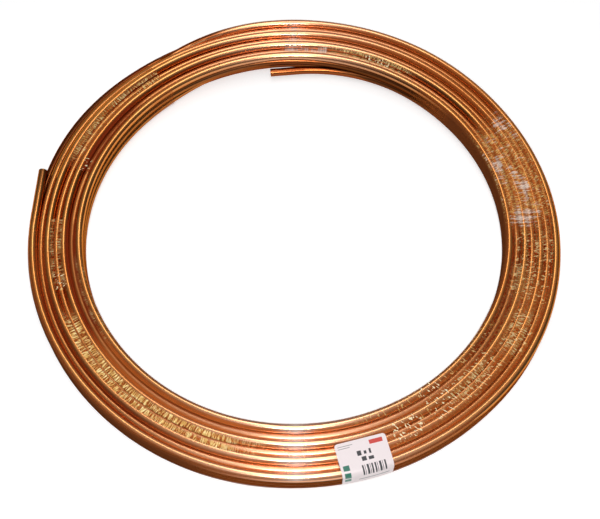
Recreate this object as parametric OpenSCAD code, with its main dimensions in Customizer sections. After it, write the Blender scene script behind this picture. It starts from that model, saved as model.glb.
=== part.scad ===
// A coil of soft copper tube, wound in nested layers and wrapped in clear stretch film, with a paper label.
// It lies flat: +Z is the axis of the coil, and the origin is the middle of its underside.
// Angles are in degrees about +Z, counted from +X.
// The tube runs clockwise from its inner end to its outer end.

/* [Tube] */
// Outside diameter of the tube
tube_d = 12; // [8:0.5:16]
// Wall thickness of the tube
tube_wall = 1; // [0.6:0.1:2]

/* [Winding] */
// Diameter of the open middle, across the crests of the innermost turns
eye_d = 584; // [480:1:800]
// Layers, from the middle outwards
layers = 7; // [5:2:9]
// Turns in the height of each layer
turns_high = 3; // [3:1:5]
// Clearance between neighbouring turns
turn_gap = 0.1; // [0.05:0.05:0.3]
// Height to which the winding is solid above the line where two turns meet
groove_fill = 1.8; // [1.2:0.1:2.4]

/* [Free ends] */
// Straight length of the outer end, which stands off the winding at its cut
outer_end_straight = 70; // [40:1:80]
// Straight length of the inner end
inner_end_straight = 40; // [20:1:60]
// Angle at which the outer end is cut
outer_end_az = 165.5; // [158:0.5:172]
// Angle at which the outer end's turn starts, at the top of the outermost layer
outer_start_az = 456; // [450:1:470]
// Angle at which the inner end leaves the inside wall
inner_leave_az = 55; // [40:1:70]
// Bend radius of the inner end, tighter than the wall that it springs away from
inner_end_r = 250; // [200:1:280]
// Angle that the inner end turns through before it runs straight
inner_end_sweep = 40; // [30:1:45]
// Angle at which the innermost turn has gone in behind its neighbours, next to the inner end
inner_start_az = 100; // [98:1:110]
// Length over which a turn rises from under its neighbours to its place
rise_run = 200; // [150:5:240]

/* [Film] */
// Thickness of the stretch film, all its wraps together
film_t = 0.5; // [0.2:0.05:1]
// Clearance between the film and the crests of the turns
film_gap = 0.1; // [0.05:0.05:0.3]
// Angle that the film stays clear of a free end or of a rising turn
film_clear_az = 2; // [1:0.5:4]
// Angle between the film that goes right round the winding and the film left open for the inner end
film_seam_az = 0.1; // [0.05:0.05:0.5]

/* [Label] */
// Angle of the middle of the label
label_az = -76; // [-90:1:-40]
// Width of the label along the coil
label_w = 66; // [40:1:100]
// How far the label reaches in over the top, from the middle of the outermost layer
label_reach = 37; // [20:1:50]
// How far the label hangs down the outside wall, from the middle of the top turn
label_drop = 22; // [10:1:24]
// Thickness of the label
label_t = 0.2; // [0.1:0.05:0.5]
// Clearance between the label and the film
label_gap = 0.3; // [0.2:0.05:0.5]
// Radius of the label's corners
label_corner_r = 4; // [1:0.5:8]

/* [Hidden] */
$fn = 96;

copper = [0.80, 0.46, 0.27];
clear_film = [0.94, 0.91, 0.88, 0.35];
paper = [0.96, 0.95, 0.93];

tube_r = tube_d / 2;
tube_bore_r = tube_r - tube_wall;
// A piece of a free end is drawn in by a hair, and starts this far inside the piece that carries it
end_step = 0.02;
end_lap = 0.5;
// Neighbouring turns lie at one pitch from each other, in a triangle
pitch = tube_d + turn_gap;
layer_step = pitch * sin(60);
film_in = tube_r + film_gap;
film_out = film_in + film_t;
label_in = film_out + label_gap;
label_out = label_in + label_t;
// Steps in a quarter of a rounded corner of the film or the label
corner_steps = 6;

last_layer = layers - 1;
top_row = turns_high - 1;

// Radius of a layer's turns, with layer 0 the innermost
function layer_r(layer) = eye_d / 2 + tube_r + layer * layer_step;

// Height of a turn: every other layer, from the innermost on, is raised by half a pitch
function turn_z(layer, row) = film_out + (layer % 2 == 0 ? pitch / 2 : 0) + row * pitch;

function turn_at(layer, row) = [layer_r(layer), turn_z(layer, row)];

outer_r = layer_r(last_layer);
inner_r = layer_r(0);
coil_top = turn_z(0, top_row) + film_out;

// Turns that lie on the outside of the winding, without the two that belong to the free ends
shown_turns = [
    for (layer = [0 : last_layer], row = [0 : top_row])
        if ((row == 0 || row == top_row || layer == 0 || layer == last_layer)
            && !(layer == 0 && row == 0) && !(layer == last_layer && row == top_row))
            turn_at(layer, row)
];

// Outline of the solid inside the winding: up the inside wall, out over the top and back under the bottom
core_outline = [
    for (row = [1 : top_row])
        turn_at(0, row) + [-groove_fill, row == top_row ? groove_fill : 0],
    for (layer = [1 : last_layer - 1])
        turn_at(layer, top_row) + [0, groove_fill],
    for (row = [top_row - 1 : -1 : 0])
        turn_at(last_layer, row) + [groove_fill, row == 0 ? -groove_fill : 0],
    for (layer = [last_layer - 1 : -1 : 1])
        turn_at(layer, 0) - [0, groove_fill]
];

// The turns of the two free ends, each with the two neighbours that it lies against
outer_turn = turn_at(last_layer, top_row);
outer_neighbours = [turn_at(last_layer - 1, top_row), turn_at(last_layer, top_row - 1)];
inner_turn = turn_at(0, 0);
inner_neighbours = [turn_at(0, 1), turn_at(1, 0)];
// Angle at which the outer end leaves its turn to run straight
outer_leave_az = outer_end_az + atan(outer_end_straight / outer_r);

// Direction in which a turn of a free end faces, away from its neighbours
function facing(turn, neighbours) =
    let (away = turn - (neighbours[0] + neighbours[1]) / 2)
        away / norm(away);

// A turn that belongs to a free end, with the metal that joins it to its two neighbours, drawn in by inset
module end_turn_section(turn, neighbours, inset = 0) {
    fill = (groove_fill - inset) * facing(turn, neighbours);
    translate(turn)
        circle(tube_r - inset);
    polygon([
        turn + fill,
        neighbours[0] + fill,
        neighbours[0] - fill,
        neighbours[1] - fill,
        neighbours[1] + fill
    ]);
}

// How deep a turn starts, under the metal that joins its neighbours
rise = layer_step - groove_fill + tube_r + end_lap;

// Curvature that takes a turn out of its place and in between its neighbours, over the length of the rise
function rise_pull(turn, neighbours) =
    [-1 / turn[0], 0] - 2 * rise / pow(rise_run, 2) * facing(turn, neighbours);

// Angle of an arc of a given length
function arc_az(length, r) = length / r * 180 / PI;

// Angle about the axis that the rise of a turn takes
function rise_az(turn) = arc_az(rise_run, turn[0]);

// Start of a turn of a free end: a bend from its place on the X axis, tangent to the turn,
// in between its neighbours
module rising_start(turn, neighbours) {
    pull = rise_pull(turn, neighbours);
    bend_r = 1 / norm(pull);
    lean = atan2(-pull[1], -pull[0]);
    lap_az = arc_az(end_lap, bend_r);
    translate([turn[0], 0, turn[1]])
        rotate([0, -lean, 0])
            translate([-bend_r, 0, 0])
                rotate([0, 0, -lap_az])
                    rotate_extrude(angle = arc_az(rise_run, bend_r) + lap_az)
                        translate([bend_r, 0])
                            rotate(-lean)
                                translate(-turn)
                                    end_turn_section(turn, neighbours, end_step);
}

// A straight end of the tube without its bore, along +Y, seated in the bend and drawn in by inset
module straight_end(length, inset) {
    rotate([-90, 0, 0])
        translate([0, 0, -end_lap])
            cylinder(r = tube_r - inset, h = length + end_lap);
}

// The bore of a straight end, run out past the cut
module straight_end_bore(length) {
    rotate([-90, 0, 0])
        cylinder(r = tube_bore_r, h = length + tube_d);
}

// Angles at which the outer turn is under its neighbours, and the inner one is back in its place
outer_sunk_az = outer_start_az - 360 + rise_az(outer_turn);
inner_rise_az = inner_start_az + rise_az(inner_turn);

// Where the outer end leaves its turn, on a tangent
module at_outer_end() {
    rotate([0, 0, outer_leave_az])
        translate([outer_turn[0], 0, outer_turn[1]])
            mirror([0, 1, 0])
                children();
}

// Middle of the inner end's bend, on the line from the axis to where the end leaves the wall
module at_inner_bend() {
    rotate([0, 0, inner_leave_az])
        translate([inner_turn[0] - inner_end_r, 0, inner_turn[1]])
            children();
}

// Where the inner end starts to run straight
module at_inner_end() {
    at_inner_bend()
        rotate([0, 0, inner_end_sweep])
            translate([inner_end_r, 0, 0])
                children();
}

module winding() {
    rotate_extrude() {
        polygon(core_outline);
        for (turn = shown_turns)
            translate(turn)
                circle(tube_r);
    }
}

// The last turn, at the top of the outermost layer
module outer_end() {
    rotate([0, 0, outer_leave_az])
        rotate_extrude(angle = outer_start_az - outer_leave_az)
            end_turn_section(outer_turn, outer_neighbours);
    rotate([0, 0, outer_start_az])
        rising_start(outer_turn, outer_neighbours);
    at_outer_end()
        straight_end(outer_end_straight, end_step);
}

// The first turn, at the foot of the innermost layer
module inner_end() {
    rotate([0, 0, inner_rise_az])
        rotate_extrude(angle = 360 + inner_leave_az - inner_rise_az)
            end_turn_section(inner_turn, inner_neighbours);
    rotate([0, 0, inner_rise_az])
        mirror([0, 1, 0])
            rising_start(inner_turn, inner_neighbours);
    lap_az = arc_az(end_lap, inner_end_r);
    at_inner_bend()
        rotate([0, 0, -lap_az])
            rotate_extrude(angle = inner_end_sweep + lap_az)
                translate([inner_end_r, 0])
                    circle(tube_r - end_step);
    at_inner_end()
        straight_end(inner_end_straight, 2 * end_step);
}

module copper_tube_coil() {
    color(copper)
        difference() {
            union() {
                winding();
                outer_end();
                inner_end();
            }
            at_outer_end()
                straight_end_bore(outer_end_straight);
            at_inner_end()
                straight_end_bore(inner_end_straight);
        }
}

// Turns round which the film is drawn tight, and the angles between which it bends round each of them
foot_slope = atan2(pitch / 2, layer_step);
film_corners = [
    [turn_at(0, top_row), 180, 90],
    [outer_turn, 90, 0],
    [turn_at(last_layer, 0), 0, foot_slope - 90],
    [turn_at(last_layer - 1, 0), foot_slope - 90, -90],
    [turn_at(1, 0), -90, -90 - foot_slope],
    [inner_turn, -90 - foot_slope, -180]
];
// Where the last turn is missing, the film slopes down to the turn under its place
sloped_corners = [
    film_corners[0],
    [turn_at(last_layer - 2, top_row), 90, 90 - foot_slope],
    [turn_at(last_layer, top_row - 1), 90 - foot_slope, 0],
    for (i = [2 : len(film_corners) - 1]) film_corners[i]
];
// Where the inner end stands free, the film stops at the two edges of the inside wall
open_corners = [for (i = [0 : len(film_corners) - 2]) film_corners[i]];

// Points of a bend of radius r round a turn
function bend(corner, r) = [
    for (step = [0 : corner_steps])
        let (angle = corner[1] + (corner[2] - corner[1]) * step / corner_steps)
            corner[0] + r * [cos(angle), sin(angle)]
];

// Line of the film's section, at distance r from the middles of the turns it is drawn round
function film_line(corners, r) = [for (corner = corners) each bend(corner, r)];

function reversed(points) = [for (i = [len(points) - 1 : -1 : 0]) points[i]];

// A stretch of film from one angle to another, with the section that is its child
module film_stretch(from_az, to_az) {
    rotate([0, 0, from_az])
        rotate_extrude(angle = to_az - from_az)
            children();
}

module closed_film_section(corners) {
    difference() {
        polygon(film_line(corners, film_out));
        polygon(film_line(corners, film_in));
    }
}

module open_film_section(corners) {
    polygon(concat(film_line(corners, film_out), reversed(film_line(corners, film_in))));
}

module stretch_film() {
    open_az = 360 + inner_leave_az - film_clear_az;
    color(clear_film) {
        film_stretch(outer_leave_az + film_clear_az, open_az)
            closed_film_section(film_corners);
        film_stretch(open_az + film_seam_az, outer_start_az - film_clear_az)
            open_film_section(open_corners);
        film_stretch(outer_sunk_az, outer_end_az - film_clear_az)
            closed_film_section(sloped_corners);
    }
}

// Line of the label's section at distance r: in over the top, round the outer edge and down the wall
function label_line(r) = concat(
    [outer_turn + [-label_reach, r]],
    bend(film_corners[1], r),
    [outer_turn + [r, -label_drop]]
);

// Plan of the label, with round corners at its inner edge, along +X from the axis
module label_plan() {
    inner_edge = outer_r - label_reach;
    outer_edge = outer_r + 2 * tube_d;
    translate([inner_edge + label_corner_r, -label_w / 2])
        square([outer_edge - inner_edge - label_corner_r, label_w]);
    translate([inner_edge, -label_w / 2 + label_corner_r])
        square([2 * label_corner_r, label_w - 2 * label_corner_r]);
    for (side = [-1, 1])
        translate([inner_edge + label_corner_r, side * (label_w / 2 - label_corner_r)])
            circle(label_corner_r);
}

module paper_label() {
    // Wide enough for the label's plan to cut both of its sides
    turned = 3 * asin(label_w / 2 / (outer_r - label_reach));
    color(paper)
        rotate([0, 0, label_az])
            intersection() {
                rotate([0, 0, -turned / 2])
                    rotate_extrude(angle = turned)
                        polygon(concat(label_line(label_out), reversed(label_line(label_in))));
                linear_extrude(coil_top + tube_d)
                    label_plan();
            }
}

copper_tube_coil();
stretch_film();
paper_label();
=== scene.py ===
"""Looks of a copper tube coil: the wound tube, its stretch film and its label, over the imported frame."""

import logging
import math
from dataclasses import dataclass, field
from enum import Enum
from functools import partialmethod
from typing import Optional, Sequence, Union

import bpy
import numpy as np
from mathutils import Matrix, Vector

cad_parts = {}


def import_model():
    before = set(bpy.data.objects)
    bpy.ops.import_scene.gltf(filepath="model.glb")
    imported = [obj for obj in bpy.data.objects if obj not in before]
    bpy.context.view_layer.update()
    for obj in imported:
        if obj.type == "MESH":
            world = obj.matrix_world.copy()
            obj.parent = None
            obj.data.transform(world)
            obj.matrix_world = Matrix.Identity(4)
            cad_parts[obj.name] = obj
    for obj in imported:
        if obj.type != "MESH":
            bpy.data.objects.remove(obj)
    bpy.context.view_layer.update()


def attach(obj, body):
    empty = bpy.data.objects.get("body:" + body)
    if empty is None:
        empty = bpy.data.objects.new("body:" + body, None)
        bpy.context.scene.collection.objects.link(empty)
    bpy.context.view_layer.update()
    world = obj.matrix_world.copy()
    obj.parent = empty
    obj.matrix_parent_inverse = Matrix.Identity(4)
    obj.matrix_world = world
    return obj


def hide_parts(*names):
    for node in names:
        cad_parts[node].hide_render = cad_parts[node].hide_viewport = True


logging.basicConfig(level=logging.INFO, format="%(message)s")
log = logging.getLogger("coil")

MM = 0.001
SEED = 12
BODY = "root"
UP = Vector((0.0, 0.0, 1.0))
Array = np.ndarray
Object, Mesh, Material = bpy.types.Object, bpy.types.Mesh, bpy.types.Material
Socket = bpy.types.NodeSocket
Value = Union[float, Sequence[float], Socket]
Colour = tuple[float, float, float, float]
NEAR, FAR = -90.0, 90.0  # angles of the coil's near and far middle, from the camera


def polar(radius: float, az: float, z: float) -> Vector:
    """Point at a radius, an angle in degrees and a height.

    Args:
        radius: distance from the coil's axis, in metres.
        az: angle about +Z from +X, in degrees.
        z: height, in metres.

    Returns:
        The point, in the frame of the coil.
    """
    turn = math.radians(az)
    return Vector((radius * math.cos(turn), radius * math.sin(turn), z))


def deselect_all() -> None:
    """Leave no object selected or active."""
    if bpy.context.object and bpy.context.object.mode != "OBJECT":
        bpy.ops.object.mode_set(mode="OBJECT")
    bpy.ops.object.select_all(action="DESELECT")


def apply_place() -> None:
    """Put the selected objects' places into their meshes."""
    bpy.ops.object.transform_apply(location=True, rotation=True, scale=True)


def join(pieces: Sequence[Object], name: str) -> Object:
    """Join meshes into one object at the origin.

    Args:
        pieces: the objects to join.
        name: the name of the joined object.

    Returns:
        The joined object, with its place in its mesh.
    """
    deselect_all()
    for piece in pieces:
        piece.select_set(True)
    bpy.context.view_layer.objects.active = pieces[0]
    if len(pieces) > 1:
        bpy.ops.object.join()
    apply_place()
    whole = bpy.context.object
    whole.name = name
    whole.data.name = name
    return whole


def points_of(mesh: Mesh) -> Array:
    """All vertex places of a mesh, one row each."""
    flat = np.empty(len(mesh.vertices) * 3, np.float32)
    mesh.vertices.foreach_get("co", flat)
    return flat.reshape(-1, 3).astype(float)


def move_points(mesh: Mesh, places: Array) -> None:
    """Put the vertices of a mesh at new places."""
    mesh.vertices.foreach_set("co", places.astype(np.float32).ravel())
    mesh.update()


def write_attribute(mesh: Mesh, name: str, values: Array) -> None:
    """Store one number a vertex under a name that a material can read."""
    layer = mesh.attributes.new(name, "FLOAT", "POINT")
    layer.data.foreach_set("value", values.astype(np.float32))


def smooth_noise(x: Array, y: Array, seed: int) -> Array:
    """Seeded noise from -1 to 1 that is smooth over steps of one in x and y.

    Args:
        x: first coordinate.
        y: second coordinate.
        seed: choice of pattern.

    Returns:
        One value for each pair of coordinates.
    """
    size = 512
    lattice = np.random.RandomState(seed).uniform(-1.0, 1.0, (size, size))
    x0, y0 = np.floor(x).astype(int), np.floor(y).astype(int)
    fx, fy = x - x0, y - y0
    fx, fy = fx * fx * (3 - 2 * fx), fy * fy * (3 - 2 * fy)
    near = lattice[x0 % size, y0 % size] * (1 - fx) + lattice[(x0 + 1) % size, y0 % size] * fx
    far = lattice[x0 % size, (y0 + 1) % size] * (1 - fx) + lattice[(x0 + 1) % size, (y0 + 1) % size] * fx
    return near * (1 - fy) + far * fy


def swell(az: Array, middle: float, spread: float) -> Array:
    """Soft bump about an angle.

    Args:
        az: angles in degrees.
        middle: angle of the top of the bump.
        spread: angle from the top to about two thirds of its height.

    Returns:
        Values from 0 to 1.
    """
    off = (az - middle + 180.0) % 360.0 - 180.0
    return np.exp(-0.5 * (off / spread) ** 2)


def stand(data: bpy.types.ID, place: Vector, aim: Vector) -> Object:
    """Stand a lamp or a camera in the scene.

    Args:
        data: the light or the camera.
        place: where it stands.
        aim: the point that it faces.

    Returns:
        The new object.
    """
    thing = bpy.data.objects.new(data.name, data)
    bpy.context.scene.collection.objects.link(thing)
    thing.matrix_world = Matrix.Translation(place) @ (place - aim).to_track_quat("Z", "Y").to_matrix().to_4x4()
    return thing


class Shading:
    """A material's node tree, built a node at a time."""

    def __init__(self, name: str) -> None:
        """Start a material with its Principled shader."""
        self.material = bpy.data.materials.new(name)
        self.material.use_nodes = True
        self.tree = self.material.node_tree
        self.shader = next(n for n in self.tree.nodes if n.type == "BSDF_PRINCIPLED")

    def add(self, kind: str, inputs: Optional[dict[str, Value]] = None, **settings: object) -> bpy.types.Node:
        """Add a node.

        Args:
            kind: Blender's name of the node type.
            inputs: values or sockets for its inputs, by name.
            settings: properties of the node.

        Returns:
            The new node.
        """
        node = self.tree.nodes.new(kind)
        for key, value in settings.items():
            setattr(node, key, value)
        for key, value in (inputs or {}).items():
            self.feed(node.inputs[key], value)
        return node

    def feed(self, socket: Socket, value: Value) -> None:
        """Link a socket into an input, or set the input to a value."""
        if isinstance(value, Socket):
            self.tree.links.new(value, socket)
        else:
            socket.default_value = value

    def math(self, operation: str, *values: Value, clamp: bool = False) -> Socket:
        """Result of a Math node on one to three values."""
        node = self.tree.nodes.new("ShaderNodeMath")
        node.operation = operation
        node.use_clamp = clamp
        for socket, value in zip(node.inputs, values):
            self.feed(socket, value)
        return node.outputs[0]

    def fold(self, operation: str, first: Value, *others: Value, clamp: bool = False) -> Value:
        """Values taken together one after another by an operation of the Math node."""
        for value in others:
            first = self.math(operation, first, value, clamp=clamp)
        return first

    times = partialmethod(fold, "MULTIPLY")
    plus = partialmethod(fold, "ADD")
    most = partialmethod(fold, "MAXIMUM")

    def scaled(self, value: Value, gain: float, base: float) -> Socket:
        """Value times a gain, plus a base."""
        return self.plus(self.times(value, gain), base)

    def radius(self, x: Socket, y: Socket) -> Socket:
        """Distance from the Z axis."""
        return self.math("SQRT", self.plus(self.times(x, x), self.times(y, y)))

    def blend(self, share: Value, first: Value, second: Value) -> Socket:
        """Colour between two colours."""
        node = self.add("ShaderNodeMix", data_type="RGBA")
        for index, value in ((0, share), (6, first), (7, second)):
            self.feed(node.inputs[index], value)
        return node.outputs[2]

    def ramp(self, value: Socket, low: float, high: float) -> Socket:
        """Value spread from 0 at low to 1 at high, smoothly and held inside."""
        node = self.add("ShaderNodeMapRange", {"Value": value, "From Min": low, "From Max": high},
                        interpolation_type="SMOOTHSTEP", clamp=True)
        return node.outputs["Result"]

    def attribute(self, name: str) -> Socket:
        """Number stored on the mesh under a name."""
        return self.add("ShaderNodeAttribute", attribute_name=name).outputs["Fac"]

    def noise(self, place: Socket, scale: float, detail: float = 2.0, roughness: float = 0.5) -> Socket:
        """Noise from about 0 to 1 at a place."""
        node = self.add("ShaderNodeTexNoise", {"Vector": place, "Scale": scale, "Detail": detail,
                                               "Roughness": roughness})
        return node.outputs["Fac"]

    def combine(self, x: Value, y: Value, z: Value) -> Socket:
        """Vector of three values."""
        return self.add("ShaderNodeCombineXYZ", {"X": x, "Y": y, "Z": z}).outputs[0]

    def finish(self, **inputs: Value) -> Material:
        """Feed the shader.

        Args:
            inputs: its inputs by name, with underscores for spaces.

        Returns:
            The material.
        """
        for key, value in inputs.items():
            self.feed(self.shader.inputs[key.replace("_", " ")], value)
        return self.material


@dataclass(frozen=True)
class CopperFinish:
    """Soft drawn copper: bright and streaked along the tube, with darker painted shade on the walls, along the
    near and far edges, in the grooves and on the lower layers, and a painted highlight at the near and far
    middles.
    """

    bright: Colour = (0.91, 0.41, 0.115, 1.0)
    deep: Colour = (0.78, 0.25, 0.052, 1.0)
    # Painted shade in the grooves between the turns.
    groove_shade_colour: Colour = (0.24, 0.062, 0.016, 1.0)
    # Painted shade: the darker colour of the walls, the near and far edges and the sloped end.
    shade_brown: Colour = (0.11, 0.037, 0.012, 1.0)
    # Painted shade of the lower, odd layers.
    recess_shade: Colour = (0.66, 0.235, 0.062, 1.0)
    # Painted highlight: the paler copper where the lamps reflect at the near and far middles.
    pale: Colour = (0.93, 0.53, 0.32, 1.0)
    glint: Colour = (0.75, 0.36, 0.16, 1.0)
    streaks_along: float = 5.0
    streaks_across: float = 900.0
    blotches: float = 14.0
    smoothest: float = 0.13

    def material(self) -> Material:
        """Make the material, on coordinates that run along the turns."""
        s = Shading("drawn_copper")
        xyz = s.add("ShaderNodeTexCoord").outputs["Object"]
        x, y, z = s.add("ShaderNodeSeparateXYZ", {"Vector": xyz}).outputs
        along = s.combine(s.times(s.math("ARCTAN2", y, x), self.streaks_along),
                          s.times(s.radius(x, y), self.streaks_across), s.times(z, self.streaks_across))
        streak = s.noise(along, 1.0, 3.0, 0.6)
        blotch = s.noise(xyz, self.blotches, 4.0, 0.6)
        shade = s.plus(s.times(s.ramp(blotch, 0.35, 0.7), 0.5), s.times(s.attribute("tone"), 0.5))
        colour = s.blend(shade, self.bright, self.deep)
        # Painted shade on the lower layers and in the grooves, and a painted highlight at the near and far
        # middles.
        for name, tone in (("dull_and_shaded", self.recess_shade), ("pale", self.pale), ("groove_shade", self.groove_shade_colour)):
            colour = s.blend(s.attribute(name), colour, tone)
        # Painted shade on the walls, along the near and far edges and on the sloped end, which are also rougher
        # there.
        painted_shade = s.times(s.attribute("painted_shade"), s.scaled(blotch, 0.5, 0.6), clamp=True)
        colour = s.blend(painted_shade, colour, self.shade_brown)
        rough = s.plus(s.times(streak, 0.08), s.times(painted_shade, 0.15), self.smoothest,
                       s.times(s.attribute("dull_and_shaded"), 0.12))
        bump = s.add("ShaderNodeBump", {"Height": streak, "Strength": 0.05, "Distance": 0.2 * MM})
        return s.finish(Base_Color=colour, Metallic=1.0, Roughness=rough, Normal=bump.outputs["Normal"],
                        Coat_Weight=s.attribute("crown"), Coat_Roughness=0.35, Coat_IOR=2.0,
                        Specular_Tint=self.glint)


@dataclass(frozen=True)
class Grain:
    """Noise on the film: its grains to the metre along and across, its pattern, and how far it slants."""

    along: float
    across: float
    pattern: float
    slant: float = 0.0

    def value(self, s: Shading, along: Socket, across: Socket) -> Socket:
        """Noise from about 0 to 1, at a place along and across the film in metres."""
        if self.slant:
            along = s.plus(along, s.times(across, self.slant))
        place = s.combine(s.times(along, self.along), s.times(across, self.across), self.pattern)
        return s.noise(place, 1.0, 1.5)


@dataclass(frozen=True)
class FilmFinish:
    """Clear stretch film with no gloss of its own: almost unseen where it is smooth, with painted highlights on
    its crinkles, milky where it is doubled, and with painted light and shade laid over it.
    """

    # Colours of the painted highlights on the crinkles and sparks.
    golden: Colour = (1.0, 0.60, 0.17, 1.0)
    cream: Colour = (1.0, 0.84, 0.42, 1.0)
    spark: Colour = (1.0, 0.86, 0.56, 1.0)
    milky: Colour = (1.0, 0.80, 0.66, 1.0)
    # Colour of the painted reflection of the lamps.
    white: Colour = (1.0, 0.95, 0.90, 1.0)
    # Painted copper-coloured light on the film between the crests.
    painted_copper_light: Colour = (0.56, 0.135, 0.026, 1.0)
    shaded: Colour = (0.25, 0.032, 0.008, 1.0)
    # Painted shade of the film over the walls.
    wall_shade: Colour = (0.11, 0.032, 0.011, 1.0)
    clear: float = 0.03
    map_length: float = 2.26
    map_girth: float = 0.24
    inner_r: float = 0.298
    layer_step: float = 0.010479
    rungs: tuple[Grain, Grain] = (Grain(760.0, 46.0, 0.0, 0.08), Grain(600.0, 70.0, 21.0, -0.16))
    crackles: tuple[Grain, Grain] = (Grain(760.0, 150.0, 31.0), Grain(620.0, 130.0, 37.0, 0.5))
    sparks: Grain = Grain(330.0, 150.0, 5.0, 0.3)
    life: Grain = Grain(70.0, 110.0, 3.0)
    clouds: Grain = Grain(40.0, 90.0, 9.0)
    streaks: Grain = Grain(260.0, 24.0, 13.0)

    def material(self) -> Material:
        """Make the material, on the film's own map: along the coil, and across the film."""
        s = Shading("stretch_film")
        coords = s.add("ShaderNodeTexCoord")
        xyz = coords.outputs["Object"]
        uv = s.add("ShaderNodeSeparateXYZ", {"Vector": coords.outputs["UV"]})
        where = s.times(uv.outputs["X"], self.map_length), s.times(uv.outputs["Y"], self.map_girth)
        rung = s.most(*(grain.value(s, *where) for grain in self.rungs))
        spanning = self.between_crests(s, xyz, 0.05, 0.2)
        lively = s.ramp(self.life.value(s, *where), 0.35, 0.62)
        # Painted highlights: the rungs, sparks and crackles of the crinkles are bright in colour, as the film
        # reflects nothing itself.
        ladder = s.times(s.ramp(rung, 0.535, 0.585), s.attribute("ladder"), spanning, s.scaled(lively, 0.4, 0.6))
        spark = s.times(s.ramp(self.sparks.value(s, *where), 0.57, 0.63), s.attribute("spark"))
        crackle = s.most(*(grain.value(s, *where) for grain in self.crackles))
        crackle = s.times(s.ramp(crackle, 0.52, 0.68), s.attribute("crackle"))
        cloud = self.clouds.value(s, *where)
        milk = s.plus(s.times(s.ramp(cloud, 0.3, 0.7), 0.6),
                      s.times(s.ramp(self.streaks.value(s, *where), 0.4, 0.65), 0.5))
        hazy = s.attribute("haze")
        doubled = s.ramp(hazy, 0.0, 0.3)
        haze = s.times(s.ramp(s.plus(hazy, s.times(milk, 0.9)), 0.75, 1.8), doubled)
        # Painted reflection of the lamps, between the crests at the near and far middles.
        painted_reflection = s.times(s.attribute("painted_reflection"), spanning)
        sunk = s.most(self.between_crests(s, xyz, 0.1, 0.38), s.times(doubled, 0.5))
        # Veil: painted light and shade laid over the film, strongest between the crests.
        veil = s.times(s.attribute("veil"), s.scaled(cloud, 0.5, 0.75), s.scaled(sunk, 0.75, 0.25))
        # Painted shade on the walls.
        veil = s.most(veil, s.attribute("wall"))
        # The bright marks: painted highlights, milky haze and the painted reflection.
        bright = s.most(ladder, spark, s.times(crackle, 0.5))
        bright = s.most(s.plus(bright, s.times(haze, 0.46), clamp=True), painted_reflection)
        alpha = s.plus(s.most(bright, veil), self.clear, clamp=True)
        colour = s.blend(s.times(s.ramp(rung, 0.56, 0.64), lively), self.golden, self.cream)
        colour = s.blend(s.ramp(spark, 0.3, 0.8), colour, self.spark)
        colour = s.blend(s.ramp(haze, 0.1, 0.5), colour, self.milky)
        colour = s.blend(s.ramp(painted_reflection, 0.0, 0.2), colour, self.white)
        # Under the bright marks: painted copper light, painted shade, or painted shade on the walls.
        under = s.blend(s.attribute("shade"), self.painted_copper_light, self.shaded)
        under = s.blend(s.attribute("wall"), under, self.wall_shade)
        colour = s.blend(s.ramp(bright, 0.0, 0.5), under, colour)
        bump = s.add("ShaderNodeBump", {"Height": rung, "Strength": 0.4, "Distance": MM})
        return s.finish(Base_Color=colour, Roughness=0.25, Specular_IOR_Level=0.0, Alpha=alpha,
                        Normal=bump.outputs["Normal"])

    def between_crests(self, s: Shading, xyz: Socket, low: float, high: float) -> Socket:
        """One where the film spans the grooves between the layers, and zero on their crests.

        Args:
            s: the material's node tree.
            xyz: place on the film.
            low: distance from a crest at which the value leaves zero, in layers.
            high: distance at which it reaches one.

        Returns:
            The value.
        """
        x, y, _ = s.add("ShaderNodeSeparateXYZ", {"Vector": xyz}).outputs
        layer = s.math("DIVIDE", s.math("SUBTRACT", s.radius(x, y), self.inner_r), self.layer_step)
        return s.ramp(s.math("PINGPONG", layer, 0.5), low, high)


@dataclass(frozen=True)
class PrintBlock:
    """A plain printed block on the label, in shares of its width and height."""

    left: float
    right: float
    bottom: float
    top: float
    ink: Colour


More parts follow.
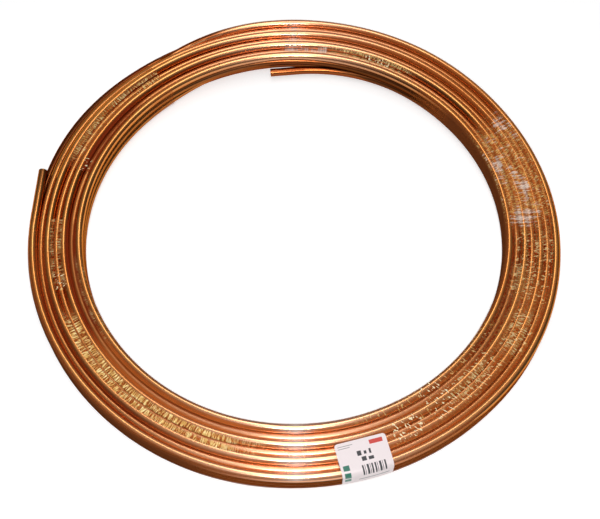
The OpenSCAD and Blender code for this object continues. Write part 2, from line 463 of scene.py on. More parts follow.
@dataclass(frozen=True)
class PaperFinish:
    """Coated white paper with a plain print of bars and blocks."""

    white: Colour = (0.87, 0.77, 0.78, 1.0)
    fibre: Colour = (0.72, 0.66, 0.62, 1.0)
    red: Colour = (0.62, 0.05, 0.04, 1.0)
    green: Colour = (0.03, 0.18, 0.12, 1.0)
    black: Colour = (0.04, 0.04, 0.045, 1.0)
    dark: Colour = (0.14, 0.14, 0.14, 1.0)
    grey: Colour = (0.32, 0.31, 0.31, 1.0)

    def blocks(self) -> list[PrintBlock]:
        """Blocks, lines and a row of bars that stand for the print, without any lettering."""
        bars = ((0.40, 0.43), (0.45, 0.46), (0.49, 0.53), (0.55, 0.56), (0.58, 0.61),
                (0.64, 0.67), (0.69, 0.70), (0.73, 0.77), (0.79, 0.80), (0.83, 0.86))
        stack = ((0.13, 0.26), (0.3, 0.43), (0.47, 0.58))
        prints = (
            (self.red, ((0.66, 0.92, 0.86, 0.94),)),
            (self.grey, ((0.05, 0.34, 0.925, 0.938), (0.05, 0.28, 0.885, 0.898))),
            (self.black, ((0.38, 0.46, 0.7, 0.79), (0.51, 0.56, 0.71, 0.77), (0.61, 0.65, 0.7, 0.79),
                          (0.44, 0.53, 0.59, 0.67), (0.57, 0.67, 0.59, 0.65))),
            (self.green, [(0.05, 0.17, bottom, top) for bottom, top in stack]),
            (self.dark, ((0.32, 0.92, 0.12, 0.15),)),
            (self.black, [(left, right, 0.31, 0.52) for left, right in bars]),
        )
        return [PrintBlock(*edges, ink) for ink, places in prints for edges in places]

    def material(self) -> Material:
        """Make the material, on the label's own map."""
        s = Shading("coated_paper")
        coords = s.add("ShaderNodeTexCoord")
        uv = s.add("ShaderNodeSeparateXYZ", {"Vector": coords.outputs["UV"]})
        fibre = s.noise(coords.outputs["Object"], 900.0, 3.0, 0.6)
        colour = s.blend(s.times(fibre, 0.12), self.white, self.fibre)
        for block in self.blocks():
            inside = s.times(self.between(s, uv.outputs["X"], block.left, block.right),
                             self.between(s, uv.outputs["Y"], block.bottom, block.top))
            colour = s.blend(inside, colour, block.ink)
        bump = s.add("ShaderNodeBump", {"Height": fibre, "Strength": 0.08, "Distance": 0.2 * MM})
        return s.finish(Base_Color=colour, Roughness=0.42, Normal=bump.outputs["Normal"])

    @staticmethod
    def between(s: Shading, value: Socket, low: float, high: float) -> Socket:
        """One where a value lies between two limits, else zero."""
        return s.times(s.math("GREATER_THAN", value, low), s.math("LESS_THAN", value, high))


@dataclass(frozen=True)
class Winding:
    """Sizes of the wound tube: layers of turns that nest, every other layer raised by half a pitch."""

    tube_r: float = 6.0 * MM
    tube_wall: float = 1.0 * MM
    turn_gap: float = 0.1 * MM
    eye_r: float = 292.0 * MM
    layers: int = 7
    rows: int = 3
    film_gap: float = 0.1 * MM
    film_t: float = 0.5 * MM

    @property
    def pitch(self) -> float:
        """Distance between the middles of neighbouring turns."""
        return 2.0 * self.tube_r + self.turn_gap

    @property
    def film_r(self) -> float:
        """Distance of the film from the middle of a turn that it lies on."""
        return self.tube_r + self.film_gap + self.film_t

    def radius(self, layer: int) -> float:
        """Radius of a layer's turns, with layer 0 the innermost."""
        return self.eye_r + self.tube_r + layer * self.pitch * math.sin(math.radians(60.0))

    def height(self, layer: int, row: int) -> float:
        """Height of a turn above the floor."""
        return self.film_r + (self.pitch / 2.0 if layer % 2 == 0 else 0.0) + row * self.pitch

    def turn(self, layer: int, row: int) -> tuple[float, float]:
        """Radius and height of a turn."""
        return self.radius(layer), self.height(layer, row)

    def shown(self) -> list[tuple[int, int]]:
        """Layer and row of each full turn on the outside of the winding, without those of the free ends."""
        last, top = self.layers - 1, self.rows - 1
        return [(layer, row) for layer in range(self.layers) for row in range(self.rows)
                if (row in (0, top) or layer in (0, last)) and (layer, row) not in ((0, 0), (last, top))]


@dataclass
class CopperCoil:
    """The wound tube: its turns, and its two free ends."""

    winding: Winding
    around: int = 300
    sides: int = 32
    outer_cut_az: float = 165.5
    outer_straight: float = 70.0 * MM
    outer_start_az: float = 96.0
    inner_leave_az: float = 55.0
    inner_bend_r: float = 250.0 * MM
    inner_sweep: float = 40.0
    inner_straight: float = 40.0 * MM
    inner_start_az: float = 100.0
    rise: float = 15.2 * MM
    rise_run: float = 200.0 * MM
    bore_depth: float = 30.0 * MM
    loose: tuple[tuple[float, float, float], ...] = (
        (0.055, 150.0, 14.0), (0.035, -30.0, 14.0), (-0.045, 32.0, 16.0),
    )
    stray: float = 0.35 * MM
    heave: float = 0.25 * MM

    @property
    def outer_leave_az(self) -> float:
        """Angle at which the outer end leaves its turn to run straight."""
        radius = self.winding.radius(self.winding.layers - 1)
        return self.outer_cut_az + math.degrees(math.atan(self.outer_straight / radius))

    def build(self) -> Object:
        """Model the turns and the ends, and join them into one piece."""
        pieces = [self.full_turn(layer, row) for layer, row in self.winding.shown()]
        pieces += [self.outer_end(), self.inner_end()]
        coil = join(pieces, "copper_coil")
        self.settle(coil)
        deselect_all()
        coil.select_set(True)
        bpy.context.view_layer.objects.active = coil
        bpy.ops.object.shade_smooth_by_angle(angle=math.radians(40.0))
        return coil

    def full_turn(self, layer: int, row: int) -> Object:
        """Add a turn that goes right round."""
        radius, height = self.winding.turn(layer, row)
        coarse = 1 if row == self.winding.rows - 1 else 2
        deselect_all()
        bpy.ops.mesh.primitive_torus_add(
            major_segments=self.around // coarse, minor_segments=self.sides // coarse, major_radius=radius,
            minor_radius=self.winding.tube_r, location=(0.0, 0.0, height))
        return bpy.context.object

    def cut_end(self, place: Vector, out: Vector) -> Object:
        """Start a free end at its cut: a rim round an open bore, with the rim's outer edge selected in edit mode.

        Args:
            place: middle of the cut.
            out: direction in which the tube looks out of its cut.

        Returns:
            The new object.
        """
        w = self.winding
        deselect_all()
        bpy.ops.mesh.primitive_circle_add(vertices=self.sides, radius=w.tube_r - w.tube_wall,
                                          location=place, rotation=out.to_track_quat("Z", "Y").to_euler())
        end = bpy.context.object
        apply_place()
        bpy.ops.object.mode_set(mode="EDIT")
        bpy.ops.mesh.select_all(action="SELECT")
        bpy.ops.mesh.extrude_region_move(TRANSFORM_OT_translate={"value": -self.bore_depth * out})
        bpy.ops.mesh.edge_face_add()
        self.select_near(end, place, out)
        grow = w.tube_r / (w.tube_r - w.tube_wall)
        bpy.ops.mesh.extrude_region()
        bpy.ops.transform.resize(value=(grow, grow, grow), center_override=place)
        return end

    @staticmethod
    def select_near(end: Object, place: Vector, out: Vector) -> None:
        """Select only the vertices in the plane of a cut."""
        bpy.ops.object.mode_set(mode="OBJECT")
        for part in (end.data.polygons, end.data.edges):
            part.foreach_set("select", [False] * len(part))
        for vertex in end.data.vertices:
            vertex.select = abs((vertex.co - place).dot(out)) < 0.1 * MM
        bpy.ops.object.mode_set(mode="EDIT")
        bpy.ops.mesh.select_mode(type="VERT")
        bpy.ops.mesh.select_mode(type="EDGE")

    def close(self, end: Object) -> Object:
        """Leave edit mode with every face turned outwards."""
        bpy.ops.mesh.select_all(action="SELECT")
        bpy.ops.mesh.remove_doubles(threshold=0.01 * MM)
        bpy.ops.mesh.normals_make_consistent(inside=False)
        bpy.ops.object.mode_set(mode="OBJECT")
        return end

    def steps(self, angle: float) -> int:
        """Number of steps for an arc of the coil, in degrees."""
        return max(4, round(self.around * abs(angle) / 360.0))

    def spin(self, angle: float, centre: Vector, axis: Vector) -> None:
        """Sweep the selected edge round an axis.

        Args:
            angle: angle of the sweep in degrees, right-handed about the axis; the operator's is left-handed.
            centre: a point on the axis.
            axis: direction of the axis.
        """
        bpy.ops.mesh.spin(steps=self.steps(angle), angle=-math.radians(angle), center=centre, axis=axis)

    def rise_arc(self, turn: tuple[float, float], outward: tuple[float, float],
                 az: float) -> tuple[Vector, Vector, float]:
        """Bend that takes a turn out of its place and in between its neighbours.

        Args:
            turn: radius and height of the turn.
            outward: direction, in radius and height, in which the turn faces away from its neighbours.
            az: angle at which it leaves its place.

        Returns:
            Middle, axis and angle of the bend.
        """
        pull = 2.0 * self.rise / self.rise_run ** 2
        curve = Vector((-1.0 / turn[0] - pull * outward[0], -pull * outward[1]))
        radius = 1.0 / curve.length
        toward = curve.normalized()
        across = polar(1.0, az, 0.0)
        centre = polar(turn[0], az, turn[1]) + radius * (toward.x * across + toward.y * UP)
        forward = Vector((-across.y, across.x, 0.0))
        spoke = polar(turn[0], az, turn[1]) - centre
        return centre, spoke.cross(forward).normalized(), math.degrees(self.rise_run / radius)

    def outer_end(self) -> Object:
        """Model the last turn, from its cut back to where it rises between its neighbours."""
        w = self.winding
        radius, height = w.turn(w.layers - 1, w.rows - 1)
        root = polar(radius, self.outer_leave_az, height)
        out = polar(1.0, self.outer_leave_az - 90.0, 0.0)
        end = self.cut_end(root + self.outer_straight * out, out)
        bpy.ops.mesh.extrude_region_move(TRANSFORM_OT_translate={"value": -self.outer_straight * out})
        sweep = 360.0 + self.outer_start_az - self.outer_leave_az
        self.spin(sweep, height * UP, UP)
        self.spin_rise((radius, height), (0.5, math.sqrt(0.75)), self.outer_start_az, 1.0)
        return self.close(end)

    def inner_end(self) -> Object:
        """Model the first turn, from its cut round to where it goes in behind its neighbours."""
        w = self.winding
        radius, height = w.turn(0, 0)
        bend = polar(radius - self.inner_bend_r, self.inner_leave_az, height)
        root = bend + polar(self.inner_bend_r, self.inner_leave_az + self.inner_sweep, 0.0)
        out = polar(1.0, self.inner_leave_az + self.inner_sweep + 90.0, 0.0)
        end = self.cut_end(root + self.inner_straight * out, out)
        bpy.ops.mesh.extrude_region_move(TRANSFORM_OT_translate={"value": -self.inner_straight * out})
        self.spin(-self.inner_sweep, bend, UP)
        rise_az = self.inner_start_az + math.degrees(self.rise_run / radius)
        self.spin(rise_az - self.inner_leave_az - 360.0, height * UP, UP)
        self.spin_rise((radius, height), (-math.sqrt(0.75), -0.5), rise_az, -1.0)
        return self.close(end)

    def spin_rise(self, turn: tuple[float, float], outward: tuple[float, float], az: float, way: float) -> None:
        """Sweep the selected edge along the bend that takes a turn in between its neighbours."""
        centre, axis, angle = self.rise_arc(turn, outward, az)
        self.spin(way * angle, centre, axis)

    def settle(self, coil: Object) -> None:
        """Move the turns a little off true circles, as they lie in the photograph, and store their tones."""
        w = self.winding
        places = points_of(coil.data)
        radius = np.hypot(places[:, 0], places[:, 1])
        az = np.degrees(np.arctan2(places[:, 1], places[:, 0]))
        layer = np.rint((radius - w.radius(0)) / (w.radius(1) - w.radius(0)))
        lane = layer * 7.0 + np.rint((places[:, 2] - w.film_r) / w.pitch * 2.0)
        spread = sum(share * swell(az, middle, width) for share, middle, width in self.loose)
        shift = spread * np.clip(radius - w.radius(0), 0.0, None)
        shift += self.stray * smooth_noise(az / 25.0 + 40.0, lane * 3.7 + 5.0, SEED)
        places[:, 0] += shift * np.cos(np.radians(az))
        places[:, 1] += shift * np.sin(np.radians(az))
        places[:, 2] += self.heave * smooth_noise(az / 30.0 + 80.0, lane * 2.3 + 9.0, SEED + 1)
        move_points(coil.data, places)
        write_attribute(coil.data, "tone", 0.5 + 0.5 * smooth_noise(az / 60.0 + 20.0, lane * 1.9, SEED + 2))
        self.store_tones(coil.data, radius, az, places[:, 2], layer)

    def store_tones(self, mesh: Mesh, radius: Array, az: Array, z: Array,
                    layer: Array) -> None:
        """Store at each point its painted shade on walls and edges, its painted shade in the grooves, its pale
        painted highlight, its gloss, and the roughness and painted shade of the lower layers.

        Args:
            mesh: the coil's mesh.
            radius: distance of each point from the axis, before it was moved.
            az: its angle in degrees.
            z: its height.
            layer: the layer that it belongs to.
        """
        w = self.winding
        top, tube_r = w.rows - 1, w.tube_r
        # Masks of the painted shade: low on the inner and outer walls, on the slope where the last turn is
        # missing, and along the silhouette edges at the near and far sides.
        inside, outside = w.radius(0) - radius, radius - w.radius(w.layers - 1)
        wall = np.clip(np.maximum(inside, outside) / tube_r, 0.0, 1.0) * (inside < 1.2 * tube_r)
        low = np.clip((w.height(0, top) + 0.6 * tube_r - z) / (1.6 * tube_r), 0.0, 1.0)
        slope = swell(az, 147.0, 10.0) * np.clip((radius - w.radius(w.layers - 2)) / tube_r, 0.0, 1.0)
        dim = np.where(inside > 0.0, 0.25 + 0.75 * swell(az, 30.0, 40.0), 1.0)
        near = np.clip(-2.0 * np.sin(np.radians(az)), -1.0, 1.0)
        edge = np.clip(np.where(near > 0.0, inside, outside) / tube_r * 2.2 - 0.5, 0.0, 1.0) * np.abs(near)
        drop = np.where(layer % 2 == 0, w.height(0, top), w.height(1, top)) + tube_r - z
        golden = 1.0 - 0.7 * (inside > -0.5 * tube_r) * swell(az, 145.0, 35.0) - 0.4 * swell(az, -38.0, 28.0)
        glossy = 0.05 + np.maximum(0.5 * swell(az, NEAR, 16.0), 0.3 * swell(az, FAR, 14.0))
        tones = {
            # Painted shade of the walls, the edges and the slope.
            "painted_shade": 1.5 * dim * wall * low + 0.9 * slope + edge,
            # Painted shade in the grooves, and evenly over the far side.
            "groove_shade": golden * np.clip(drop / (0.4 * tube_r) - 0.3, 0.0, 1.0) + 0.25 * swell(az, FAR, 30.0),
            # Painted highlight at the near and far middles.
            "pale": np.maximum(0.72 * swell(az, NEAR, 24.0), 0.65 * swell(az, 84.0, 20.0)),
            "crown": glossy * np.clip(1.4 - drop / (0.5 * tube_r), 0.0, 1.0),
            # Painted shade and more roughness on the lower, odd layers.
            "dull_and_shaded": np.where(layer % 2 == 1, np.where(layer == 1, 1.0, 0.5), 0.0),
        }
        for name, values in tones.items():
            write_attribute(mesh, name, np.clip(values, 0.0, 1.0))

    def dress(self, coil: Object) -> None:
        """Give the coil its finish and its place in the frame."""
        coil.data.materials.clear()
        coil.data.materials.append(CopperFinish().material())
        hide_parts("copper_tube_coil")
        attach(coil, BODY)


class Wrap(Enum):
    """How a stretch of film goes round the winding."""

    RIGHT_ROUND = "right round"
    OPEN_INSIDE = "open at the inside wall"
    SLOPED = "sloped where the last turn is missing"


@dataclass(frozen=True)
class Patch:
    """A patch on the film, by its angles and how far out it lies, from 0 at the eye to 1 at the rim."""

    from_az: float
    to_az: float
    amount: float
    inner: float = -0.2
    outer: float = 1.2
    fade_az: float = 2.0
    fade_out: float = 0.05

    def strength(self, az: Array, out: Array) -> Array:
        """Strength of the patch at points of the film, soft at its edges.

        Args:
            az: angles of the points in degrees.
            out: how far out the points lie.

        Returns:
            Values from 0 to the patch's amount.
        """
        off = np.abs((az - (self.from_az + self.to_az) / 2.0 + 180.0) % 360.0 - 180.0)
        around = np.clip(((self.to_az - self.from_az) / 2.0 - off) / self.fade_az + 0.5, 0.0, 1.0)
        aside = np.abs(out - (self.inner + self.outer) / 2.0)
        over = np.clip(((self.outer - self.inner) / 2.0 - aside) / self.fade_out + 0.5, 0.0, 1.0)
        return self.amount * around * over


@dataclass
class StretchFilm:
    """The clear film wound round the section of the ring."""

    winding: Winding
    coil: CopperCoil
    step: float = 2.6 * MM
    clear_az: float = 2.0
    seam_az: float = 0.1
    sag: float = 1.1 * MM
    # Where the crinkles carry painted highlights.
    ladders: tuple[Patch, ...] = (
        Patch(206, 254, 1, 0.34, 0.66, 6), Patch(250, 264, 0.35, 0.34, 0.66, 4),
        Patch(174, 197, 0.4, 0.32, 0.62, 3), Patch(190, 217, 0.3, -0.05, 0.1, 6),
        Patch(138, 161, 0.65, 0.42, 0.7, 4), Patch(163, 176, 0.3, 0.25, 0.7, 4),
        Patch(56, 80, 0.7, 0.04, 0.3, 6), Patch(120, 137, 0.7, 0.3, 0.6, 4),
        Patch(324, 335, 0.5, 0.4, 0.8, 4), Patch(338, 348, 0.4, 0.1, 0.6, 5),
        Patch(306, 320, 0.5, 0.36, 0.6, 5), Patch(349, 357, 0.35, 0.5, 0.95, 3),
    )
    # Where the film carries painted highlight sparks.
    sparks: tuple[Patch, ...] = (
        Patch(291, 299, 0.9, 0.3, 0.75), Patch(301, 308, 0.8, 0.2, 0.7),
        Patch(302, 307, 0.7, -0.05, 0.12), Patch(308, 322, 0.55, 0.2, 0.75),
        Patch(324, 336, 0.55, 0.4, 0.9), Patch(338, 357, 0.5, 0.1, 0.95),
        Patch(159, 168, 0.8, 0.12, 0.32), Patch(146, 158, 0.3, 0.4, 0.72),
        Patch(193, 198, 0.8, 0.35, 0.6), Patch(61, 70, 0.85, 0.05, 0.3),
        Patch(284, 330, 0.45, -0.05, 0.15, 8),
    )
    hazes: tuple[Patch, ...] = (
        Patch(-1, 32, 0.24, fade_az=10), Patch(4, 13, 0.65, 0.3, 0.6, 7, 0.3),
        Patch(13, 22, 0.6, 0, 0.3, 7, 0.3), Patch(-2, 2, 0.72, 0.05, 0.7, 4, 0.3),
        Patch(24, 34, 0.5, 0.5, 0.9, 7, 0.3), Patch(80, 92.6, 1, 0.04, 0.24, 0.6),
    )
    # Where the crackles carry painted highlights.
    crackles: tuple[Patch, ...] = (
        Patch(-1, 30, 1, 0, 0.95, 8), Patch(322, 358, 0.5, 0.05, 0.95, 4),
        Patch(276, 322, 0.35, 0.05, 0.9, 6), Patch(138, 164, 0.4, 0.3, 0.75, 4),
        Patch(212, 258, 0.65, 0.3, 0.7, 8),
    )
    # Veils: where painted copper light or painted shade lies over the film.
    veils: tuple[Patch, ...] = (
        Patch(178, 258, 0.52, 0.03, 0.30, 14), Patch(252, 290, 0.3, 0.03, 0.97, 10),
        Patch(292, 350, 0.34, 0.03, 0.30, 10), Patch(205, 256, 0.5, 0.36, 0.63, 10),
        Patch(286, 346, 0.35, 0.36, 0.97, 10), Patch(34, 88, 0.4, 0.36, 0.97, 10),
        Patch(-1, 30, 0.7, 0.03, 0.93, 10), Patch(186, 250, 0.25, 0.70, 0.97, 12),
        Patch(120, 170, 0.88, 0.72, 1.3, 4), Patch(112, 136, 0.6, 0.38, 0.62, 4),
        Patch(138, 168, 0.7, 0.05, 0.28, 6), Patch(138, 160, 0.4, 0.36, 0.7, 6),
    )
    shades: tuple[Patch, ...] = (
        Patch(120, 170, 1, 0.72, 1.3, 4), Patch(112, 137, 0.8, 0.34, 0.66, 4),
        Patch(136, 172, 1, 0.03, 0.30, 6), Patch(172, 214, 1, 0.03, 0.30, 8),
        Patch(194, 240, 0.8, 0.66, 0.97, 12), Patch(318, 352, 0.9, 0.03, 0.30, 8),
    )
    # Painted reflection of the lamps across the film at the near and far middles.
    painted_reflections: tuple[Patch, ...] = (
        Patch(267, 273, 0.42, fade_az=7), Patch(87.5, 92, 0.38, 0.1, 1, fade_az=5),
    )
    # Where the film over the walls carries painted shade.
    walls: tuple[Patch, ...] = (
        Patch(-30, 45, 0.85, outer=0.5, fade_az=14), Patch(100, 128, 0.4, outer=0.5, fade_az=20),
        Patch(190, 258, 0.9, 0.5, fade_az=24), Patch(288, 345, 0.4, 0.5, fade_az=20),
    )

    def section(self, wrap: Wrap) -> Array:
        """Points round the section of a stretch, from the floor up the outside and back down the inside.

        Args:
            wrap: how the stretch goes round.

        Returns:
            Rows of radius and height.
        """
        w = self.winding
        last, top = w.layers - 1, w.rows - 1
        rim = [((last, top), 0.0, 90.0)]
        if wrap is Wrap.SLOPED:
            rim = [((last, top - 1), 0.0, 60.0), ((last - 2, top), 60.0, 90.0)]
        crests = [((layer, top), 90.0, 90.0) for layer in range(last - 2, 0, -2)
                  if (layer, top) != rim[-1][0]]
        outside = [((1, 0), -90.0, -90.0), ((last - 1, 0), -90.0, -60.0), ((last, 0), -60.0, 0.0)]
        inside = [((0, top), 90.0, 180.0), ((0, 0), 180.0, 240.0), ((1, 0), 240.0, 270.0)]
        if wrap is Wrap.OPEN_INSIDE:
            inside = inside[:1]
        points: list[Array] = []
        for turn, start, stop in outside + rim + crests + inside:
            middle = np.array(w.turn(*turn))
            steps = max(1, round(abs(stop - start) / 15.0))
            bend = [middle + w.film_r * np.array((math.cos(math.radians(a)), math.sin(math.radians(a))))
                    for a in np.linspace(start, stop, steps + 1)]
            if points:
                points += self.bridge(points[-1], bend[0], stop >= 60.0 and start <= 90.0)
            points += bend
        keep = [points[0]] + [b for a, b in zip(points, points[1:]) if np.linalg.norm(b - a) > 0.05 * MM]
        return np.array(keep)

    def bridge(self, start: Array, stop: Array, over: bool) -> list[Array]:
        """Points of the film between two turns, which sag where it spans a lower turn.

        Args:
            start: where the film leaves one turn.
            stop: where it meets the next.
            over: whether it lies on top of the winding.

        Returns:
            The points between, without the two ends.
        """
        count = max(1, round(np.linalg.norm(stop - start) / (2.2 * MM)))
        share = np.linspace(0.0, 1.0, count + 1)[1:-1]
        drop = self.sag if over else 0.0
        return [start + (stop - start) * t - np.array((0.0, drop * math.sin(math.pi * t))) for t in share]

    def stretch(self, wrap: Wrap, from_az: float, to_az: float) -> Object:
        """Lay a flat sheet of film round the winding.

        Args:
            wrap: how it goes round.
            from_az: angle at which it starts.
            to_az: angle at which it ends.

        Returns:
            The stretch, with its map and its patches stored on it.
        """
        w = self.winding
        line = self.section(wrap)
        run = np.concatenate(([0.0], np.cumsum(np.linalg.norm(np.diff(line, axis=0), axis=1))))
        across = len(line) - 1
        along = round(math.radians(to_az - from_az) * w.radius(w.layers // 2) / self.step)
        deselect_all()
        bpy.ops.mesh.primitive_grid_add(x_subdivisions=along, y_subdivisions=across, size=1.0, calc_uvs=True)
        sheet = bpy.context.object
        flat = points_of(sheet.data)
        az = from_az + (flat[:, 0] + 0.5) * (to_az - from_az)
        index = np.rint((flat[:, 1] + 0.5) * across).astype(int)
        normal = np.gradient(line, axis=0)
        normal = np.stack((normal[:, 1], -normal[:, 0]), axis=1)
        normal /= np.linalg.norm(normal, axis=1)[:, None]
        out = np.clip((line[index, 0] - w.radius(0)) / (w.radius(w.layers - 1) - w.radius(0)), 0.0, 1.0)
        on_top = np.clip((normal[index, 1] - 0.2) / 0.5, 0.0, 1.0)
        ladder = self.patches(self.ladders, az, out) * on_top
        lift = self.wrinkles(az, run[index]) * (0.25 + ladder)
        lift = np.where(line[index, 1] < w.film_r, 0.0, lift)
        place = line[index] + normal[index] * lift[:, None]
        turn = np.radians(az)
        radius, height = place[:, 0], place[:, 1]
        move_points(sheet.data, np.stack((radius * np.cos(turn), radius * np.sin(turn), height), axis=1))
        write_attribute(sheet.data, "ladder", ladder)
        # Painted shade: a dark film over the walls, where they face sideways.
        wall = self.patches(self.walls, az, out) * np.clip((np.abs(normal[index, 0]) - 0.2) / 0.5, 0.0, 1.0)
        write_attribute(sheet.data, "wall", wall)
        for name, patches in (("veil", self.veils), ("spark", self.sparks), ("haze", self.hazes),
                              ("crackle", self.crackles), ("shade", self.shades), ("painted_reflection", self.painted_reflections)):
            write_attribute(sheet.data, name, self.patches(patches, az, out) * on_top)
        self.map(sheet.data, from_az, to_az)
        return sheet

    @staticmethod
    def patches(patches: Sequence[Patch], az: Array, out: Array) -> Array:
        """Strength of a set of patches at each point of the film."""
        return np.clip(sum(patch.strength(az, out) for patch in patches), 0.0, 1.0)

    @staticmethod
    def wrinkles(az: Array, run: Array) -> Array:
        """Height of the wrinkles that cross the film, in metres."""
        broad = smooth_noise(az * 0.9 + 300.0, run / 0.03, SEED + 5)
        close = smooth_noise(az * 1.9 + 900.0, run / 0.02 + 50.0, SEED + 6)
        return (0.25 * broad + 0.22 * close) * MM

    @staticmethod
    def map(mesh: Mesh, from_az: float, to_az: float) -> None:
        """Lay the film's map out over one turn of the coil, so that the stretches don't share a place on it."""
        layer = mesh.uv_layers.active
        flat = np.empty(len(layer.data) * 2, np.float32)
        layer.data.foreach_get("uv", flat)
        uv = flat.reshape(-1, 2)
        uv[:, 0] = (from_az + uv[:, 0] * (to_az - from_az) - 120.0) / 360.0
        layer.data.foreach_set("uv", uv.ravel())

    def build(self) -> Object:
        """Make the three stretches and join them."""
        c = self.coil
        sunk_az = c.outer_start_az + math.degrees(c.rise_run / self.winding.radius(self.winding.layers - 1))
        open_az = 360.0 + c.inner_leave_az - self.clear_az
        film = join([
            self.stretch(Wrap.RIGHT_ROUND, c.outer_leave_az + self.clear_az, open_az),
            self.stretch(Wrap.OPEN_INSIDE, open_az + self.seam_az, 360.0 + c.outer_start_az - self.clear_az),
            self.stretch(Wrap.SLOPED, sunk_az, c.outer_cut_az - self.clear_az),
        ], "film_wrap")
        bpy.ops.object.mode_set(mode="EDIT")
        bpy.ops.mesh.select_all(action="SELECT")
        bpy.ops.mesh.faces_shade_smooth()
        bpy.ops.object.mode_set(mode="OBJECT")
        return film

    def dress(self, film: Object) -> None:
        """Give the film its finish and its place in the frame."""
        film.data.materials.clear()
        film.data.materials.append(FilmFinish().material())
        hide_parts("stretch_film")
        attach(film, BODY)


@dataclass
class PaperLabel:
    """The label, laid over the outer top edge of the film."""

    winding: Winding
    az: float = -76.0
    width: float = 66.0 * MM
    reach: float = 37.0 * MM
    drop: float = 22.0 * MM
    thickness: float = 0.2 * MM
    gap: float = 0.3 * MM
    corner_r: float = 4.0 * MM

    @property
    def bend_r(self) -> float:
        """Distance of the paper from the middle of the turn that it bends over."""
        return self.winding.film_r + self.gap

    @property
    def length(self) -> float:
        """Length of the paper along its section."""
        return self.reach + self.bend_r * math.pi / 2.0 + self.drop

    def build(self) -> Object:
        """Cut the paper flat, round its inner corners, and lay it over the edge."""
        deselect_all()
        bpy.ops.mesh.primitive_plane_add(size=1.0)
        label = bpy.context.object
        label.name = "paper_label_sheet"
        label.data.name = label.name
        label.scale = (self.width, self.length, 1.0)
        label.location = (0.0, -self.length / 2.0, 0.0)
        apply_place()
        for vertex in label.data.vertices:
            vertex.select = vertex.co.y > -self.length / 2.0
        bpy.ops.object.mode_set(mode="EDIT")
        bpy.ops.mesh.select_mode(type="VERT")
        bpy.ops.mesh.bevel(offset=self.corner_r, segments=6, affect="VERTICES")
        self.crease(20, Vector((1.0, 0.0, 0.0)), Vector((-self.width / 2.0, 0.0, 0.0)), self.width)
        self.crease(44, Vector((0.0, -1.0, 0.0)), Vector((0.0, 0.0, 0.0)), self.length)
        bpy.ops.object.mode_set(mode="OBJECT")
        self.map(label.data)
        self.lay(label.data)
        solid = label.modifiers.new("thickness", "SOLIDIFY")
        solid.thickness = self.thickness
        solid.offset = 1.0
        bpy.ops.object.modifier_apply(modifier=solid.name)
        bpy.ops.object.shade_smooth_by_angle(angle=math.radians(40.0))
        return label

    @staticmethod
    def crease(count: int, way: Vector, start: Vector, length: float) -> None:
        """Cut the flat paper across at even steps, so that it can bend."""
        for step in range(1, count):
            bpy.ops.mesh.select_all(action="SELECT")
            bpy.ops.mesh.bisect(plane_co=start + way * (length * step / count), plane_no=way)

    def map(self, mesh: Mesh) -> None:
        """Lay the label's map out flat, from 0 to 1 each way."""
        layer = mesh.uv_layers.active or mesh.uv_layers.new(name="print")
        for loop in mesh.loops:
            place = mesh.vertices[loop.vertex_index].co
            layer.data[loop.index].uv = (place.x / self.width + 0.5, 1.0 + place.y / self.length)

    def lay(self, mesh: Mesh) -> None:
        """Bend the flat paper over the edge of the winding."""
        w = self.winding
        middle_r, middle_z = w.turn(w.layers - 1, w.rows - 1)
        turn = math.radians(self.az)
        outward = np.array((math.cos(turn), math.sin(turn)))
        sideways = np.array((-math.sin(turn), math.cos(turn)))
        flat = points_of(mesh)
        run = -flat[:, 1]
        angle = np.clip((run - self.reach) / self.bend_r, 0.0, math.pi / 2.0)
        radius = middle_r - np.clip(self.reach - run, 0.0, None) + self.bend_r * np.sin(angle)
        over = np.clip(run - self.reach - self.bend_r * math.pi / 2.0, 0.0, None)
        height = middle_z + self.bend_r * np.cos(angle) - over
        bow = np.sqrt(np.clip(radius ** 2 - flat[:, 0] ** 2, 0.0, None))
        eased = np.clip((radius - middle_r) / self.bend_r + 1.0, 0.0, 1.0)
        radial = np.where(radius > middle_r, bow, radius - (radius - bow) * eased)
        xy = radial[:, None] * outward + flat[:, :1] * sideways
        move_points(mesh, np.column_stack((xy, height)))

    def dress(self, label: Object) -> None:
        """Give the label its finish and its place in the frame."""
        label.data.materials.clear()
        label.data.materials.append(PaperFinish().material())
        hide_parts("paper_label")
        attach(label, BODY)


@dataclass(frozen=True)
class Lamp:
    """A soft lamp: where it hangs, the point that it faces, its width and height in metres, and its watts."""

    name: str
    place: tuple[float, float, float]
    aim: tuple[float, float, float]
    size: tuple[float, float]
    power: float

    def build(self) -> None:
        """Hang the lamp."""
        light = bpy.data.lights.new(self.name, "AREA")
        light.shape = "RECTANGLE"
        light.size, light.size_y = self.size
        light.energy = self.power
        stand(light, Vector(self.place), Vector(self.aim))


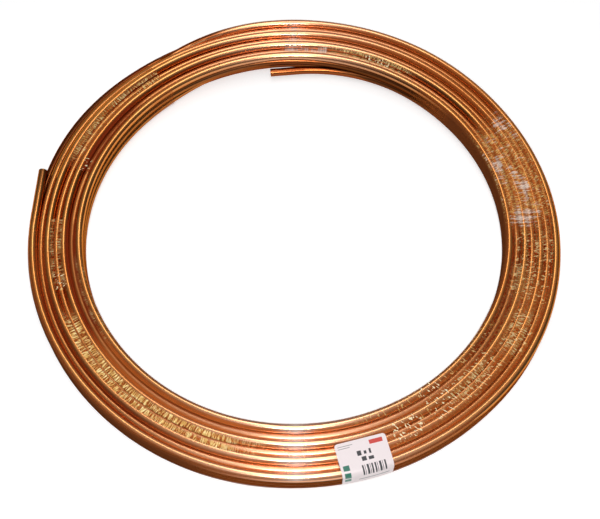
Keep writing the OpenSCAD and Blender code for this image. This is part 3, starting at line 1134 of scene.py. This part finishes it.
@dataclass
class Studio:
    """The pale floor, the soft lamps and the camera."""

    elevation: float = 60.19
    distance: float = 1.520
    lens: float = 64.24
    sensor: float = 36.0
    aim: Vector = field(default_factory=lambda: Vector((0.0077, -0.0356, 0.0)))
    floor_size: float = 40.0
    floor_paint: Colour = (0.86, 0.86, 0.86, 1.0)
    floor_glow: float = 0.4
    middle_light: float = 0.46
    side_light: float = 0.09
    lamps: tuple[Lamp, ...] = (
        Lamp("overhead", (0.0, 0.25, 2.0), (0.0, 0.25, 0.0), (0.34, 2.4), 9.2),
        Lamp("flash", (0.0, -0.83, 1.45), (0.0, 0.0, 0.0), (0.14, 0.14), 13.4),
    )

    def build(self) -> None:
        """Set the stage."""
        self.floor()
        self.world()
        for lamp in self.lamps:
            lamp.build()
        self.camera()
        bpy.context.scene.view_settings.view_transform = "Standard"

    def floor(self) -> None:
        """Lay the white floor, which keeps the shadow."""
        deselect_all()
        bpy.ops.mesh.primitive_plane_add(size=self.floor_size)
        floor = bpy.context.object
        floor.name = "floor"
        s = Shading("white_floor")
        path = s.add("ShaderNodeLightPath")
        seen = s.most(*(path.outputs[f"Is {kind} Ray"] for kind in ("Camera", "Glossy", "Transmission")))
        s.finish(Base_Color=self.floor_paint, Roughness=0.9, Emission_Color=(1.0, 1.0, 1.0, 1.0),
                 Emission_Strength=s.times(seen, self.floor_glow))
        floor.data.materials.append(s.material)

    def world(self) -> None:
        """Studio walls: light before and behind the coil, dim at its sides."""
        world = bpy.data.worlds.new("studio")
        bpy.context.scene.world = world
        world.use_nodes = True
        tree = world.node_tree
        background = next(n for n in tree.nodes if n.type == "BACKGROUND")
        place = tree.nodes.new("ShaderNodeTexCoord")
        split = tree.nodes.new("ShaderNodeSeparateXYZ")
        aside = tree.nodes.new("ShaderNodeMath")
        aside.operation = "ABSOLUTE"
        ramp = tree.nodes.new("ShaderNodeMapRange")
        ramp.interpolation_type = "SMOOTHSTEP"
        for key, value in (("From Min", 0.1), ("From Max", 0.8), ("To Min", self.middle_light),
                           ("To Max", self.side_light)):
            ramp.inputs[key].default_value = value
        tree.links.new(place.outputs["Generated"], split.inputs[0])
        tree.links.new(split.outputs["X"], aside.inputs[0])
        tree.links.new(aside.outputs[0], ramp.inputs["Value"])
        tree.links.new(ramp.outputs["Result"], background.inputs["Color"])

    def camera(self) -> None:
        """Stand the camera where the photograph was taken from."""
        lens = bpy.data.cameras.new("camera")
        lens.lens = self.lens
        lens.sensor_width = self.sensor
        rise = math.radians(self.elevation)
        place = Vector((0.0, -self.distance * math.cos(rise), self.distance * math.sin(rise)))
        bpy.context.scene.camera = stand(lens, place, self.aim)


def main() -> None:
    """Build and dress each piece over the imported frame."""
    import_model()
    winding = Winding()
    coil = CopperCoil(winding)
    for maker in (coil, StretchFilm(winding, coil), PaperLabel(winding)):
        piece = maker.build()
        maker.dress(piece)
        log.info("%s: %d faces", piece.name, len(piece.data.polygons))
    Studio().build()
    bpy.context.view_layer.update()


if __name__ == "__main__":
    main()
